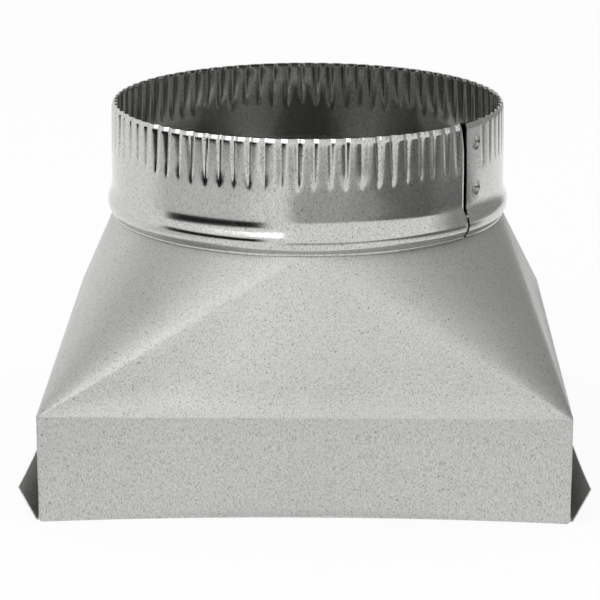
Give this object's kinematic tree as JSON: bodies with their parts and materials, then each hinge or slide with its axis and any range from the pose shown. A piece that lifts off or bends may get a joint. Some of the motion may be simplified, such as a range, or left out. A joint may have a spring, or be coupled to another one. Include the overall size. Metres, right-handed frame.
{
  "type": "square to round duct transition",
  "caption": "Galvanised sheet metal duct transition from a square end with drive cleat flaps to a round crimped collar that enters a round pipe.",
  "frame": {"origin": "middle of the square end, in the plane of its lower edge, on the axis of the round collar", "axes": "+Z along the collar's axis, out of the round end; the flaps of the square end are on the -X and +X sides, and the body's lap seam is on the +Y side"},
  "size_m": [0.2734, 0.254, 0.1806],
  "materials": {
    "body_sheet": "matt galvanised sheet with a fine streaky grain",
    "collar_sheet": "bright galvanised sheet"
  },
  "bodies": {
    "root": {"transition_body": "body_sheet", "round_collar": "collar_sheet"}
  },
  "joints": []
}
